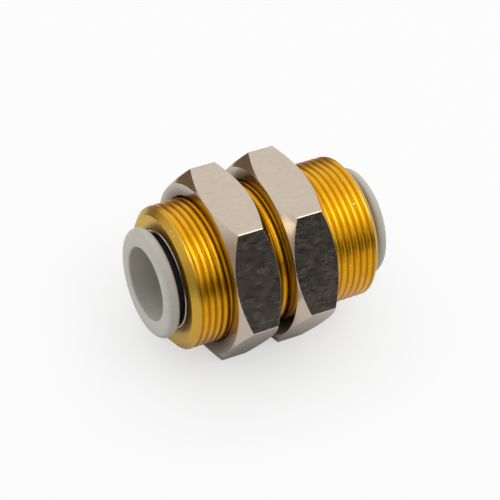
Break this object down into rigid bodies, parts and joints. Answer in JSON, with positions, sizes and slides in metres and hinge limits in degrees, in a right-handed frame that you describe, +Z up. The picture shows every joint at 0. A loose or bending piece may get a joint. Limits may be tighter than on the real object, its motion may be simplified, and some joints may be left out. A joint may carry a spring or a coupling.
{
  "type": "bulkhead union",
  "caption": "Push-in bulkhead union: a threaded brass barrel that passes through a panel, clamped by hex lock nuts, with a release button and tube cartridge in each end.",
  "frame": {"origin": "on the barrel's axis at the middle of its length, where the tube stop is", "axes": "+X along the barrel towards its right-hand end, +Z up and square to a pair of flats on both nuts"},
  "size_m": [0.0334, 0.0278, 0.024],
  "materials": {
    "brass": "bare machined brass",
    "nickel": "nickel plated, faintly grained",
    "button_plastic": "light grey moulded plastic",
    "steel": "bright pressed steel",
    "collet_plastic": "ivory moulded plastic",
    "rubber": "black nitrile rubber"
  },
  "bodies": {
    "barrel": {"body": "brass", "left_guide_ring": "steel", "left_collet": "collet_plastic", "left_chuck": "steel", "left_seal": "rubber", "right_guide_ring": "steel", "right_collet": "collet_plastic", "right_chuck": "steel", "right_seal": "rubber"},
    "left_lock_nut": {"left_nut": "nickel"},
    "left_button": {"left_release_button": "button_plastic"},
    "right_lock_nut": {"right_nut": "nickel"},
    "right_button": {"right_release_button": "button_plastic"}
  },
  "joints": [
    {"name": "left_nut_travel", "type": "slide", "parent": "barrel", "child": "left_lock_nut", "axis": [1, 0, 0], "range_m": [-0.0045, 0.0011]},
    {"name": "right_nut_travel", "type": "slide", "parent": "barrel", "child": "right_lock_nut", "axis": [1, 0, 0], "range_m": [-0.0011, 0.007]},
    {"name": "left_button_press", "type": "slide", "parent": "barrel", "child": "left_button", "axis": [1, 0, 0], "range_m": [0, 0.0008], "stiffness_N_per_m": 500},
    {"name": "right_button_press", "type": "slide", "parent": "barrel", "child": "right_button", "axis": [-1, 0, 0], "range_m": [0, 0.0008], "stiffness_N_per_m": 500}
  ]
}
